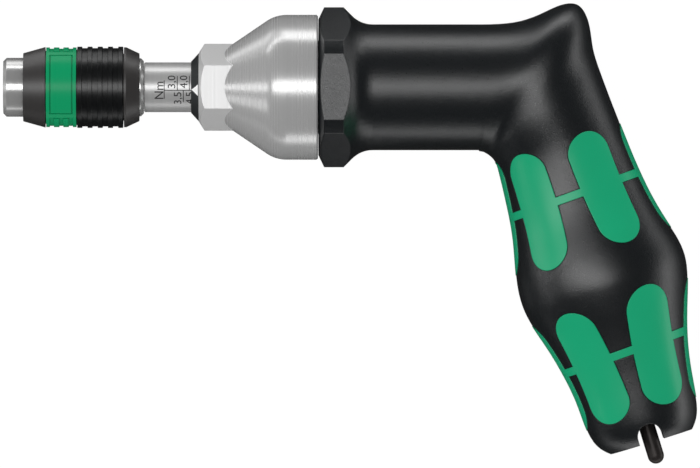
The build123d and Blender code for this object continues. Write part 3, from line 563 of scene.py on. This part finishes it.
seen_glow = 1.04          # the paper's own light for the camera
seen_share = 0.94         # how much of what the camera sees is that light, and the rest is lit paper
seen = paper.node("ShaderNodeLightPath", {}, {}, "Is Camera Ray")
mirrored = paper.node("ShaderNodeLightPath", {}, {}, "Is Glossy Ray")
glow = paper.node("ShaderNodeEmission", {}, {"Color": (1, 1, 1, 1), "Strength": seen_glow})
# Mirrors see this painted reflection glow in place of the lit paper.
painted_reflection_glow = paper.node("ShaderNodeEmission", {}, {"Color": (1, 1, 1, 1), "Strength": painted_reflection_strength})
lit = Field(paper, paper.shader.outputs[0])
bright = paper.node("ShaderNodeMixShader", {}, {0: seen_share * seen, 1: lit, 2: glow})
paper_look = paper.node("ShaderNodeMixShader", {}, {0: mirrored, 1: bright, 2: painted_reflection_glow})
paper.show(paper_look, paper.tree.nodes["Material Output"])
paper.material.cycles.emission_sampling = "NONE"
paper_mesh.materials.append(paper.material)


# Studio: a narrow softbox overhead, low strips on all four sides, and two panels on the left that face the
# cap's cone. They draw the long sheens on the barrel, the grip and the cap.
# The room's own fill is even, mirrors hardly show it, and the camera sees white beyond the paper.
def softbox(name, place, aim, size, radiance):
    """A rectangular lamp that faces a point, and is as bright as stated when seen in a mirror."""
    lamp = bpy.data.lights.new(name, "AREA")
    lamp.shape = "RECTANGLE"
    lamp.size, lamp.size_y = size
    lamp.energy = radiance * pi * size[0] * size[1]
    holder = bpy.data.objects.new(name, lamp)
    bpy.context.scene.collection.objects.link(holder)
    holder.location = place
    holder.rotation_euler = (Vector(aim) - Vector(place)).to_track_quat("-Z", "Y").to_euler()


tool_middle = (0.078, -0.030, 0.0)
softbox("overhead", place=(-0.45, 0.02, 1.10), aim=(-0.45, 0.02, 0.0), size=(1.40, 0.36), radiance=3.5)
softbox("far_strip", place=(-0.05, 0.90, 0.070), aim=(-0.05, 0.0, 0.0), size=(1.90, 0.14), radiance=2.75)
softbox("near_strip", place=(0.64, -0.95, 0.060), aim=(0.64, 0.0, 0.0), size=(1.20, 0.13), radiance=1.9)
softbox("left_panel", place=(-0.90, 0.0, 0.30), aim=tool_middle, size=(0.14, 0.46), radiance=2.6)
softbox("left_strip", place=(-0.95, 0.12, 0.060), aim=(0.0, 0.12, 0.0), size=(0.60, 0.12), radiance=1.3)
softbox("left_card", place=(-0.80, -0.34, 0.25), aim=tool_middle, size=(0.22, 0.18), radiance=1.4)
softbox("right_strip", place=(1.00, -0.05, 0.085), aim=tool_middle, size=(0.60, 0.17), radiance=1.9)

world = bpy.data.worlds.new("dim_room")
bpy.context.scene.world = world
world.use_nodes = True
world.cycles.sampling_method = "NONE"
world.node_tree.nodes.clear()
room = Nodes(world.node_tree)


def walls(brightness):
    """White walls of one brightness all round."""
    return room.node("ShaderNodeBackground", {}, {"Color": (1, 1, 1, 1), "Strength": brightness})


in_mirror = room.node("ShaderNodeLightPath", {}, {}, "Is Glossy Ray")
to_camera = room.node("ShaderNodeLightPath", {}, {}, "Is Camera Ray")
pale_walls, dim_walls, white_walls = walls(0.62), walls(0.03), walls(1.0)
unseen = room.node("ShaderNodeMixShader", {}, {0: in_mirror, 1: pale_walls, 2: dim_walls})
surround = room.node("ShaderNodeMixShader", {}, {0: to_camera, 1: unseen, 2: white_walls})
room.show(surround, world.node_tree.nodes.new("ShaderNodeOutputWorld"))
bpy.context.scene.view_settings.view_transform = "Standard"


# Camera: a long lens straight above the tool, 4 metres up.
# It frames the tool as the photograph does.
picture_middle = (78.24, -33.12)
camera_height = 4000.0
camera = bpy.data.cameras.new("camera")
camera.lens = 911.3
camera.sensor_width = 36
camera.clip_end = 10
tripod = bpy.data.objects.new("camera", camera)
bpy.context.scene.collection.objects.link(tripod)
tripod.location = Vector((*picture_middle, camera_height)) * mm
bpy.context.scene.camera = tripod
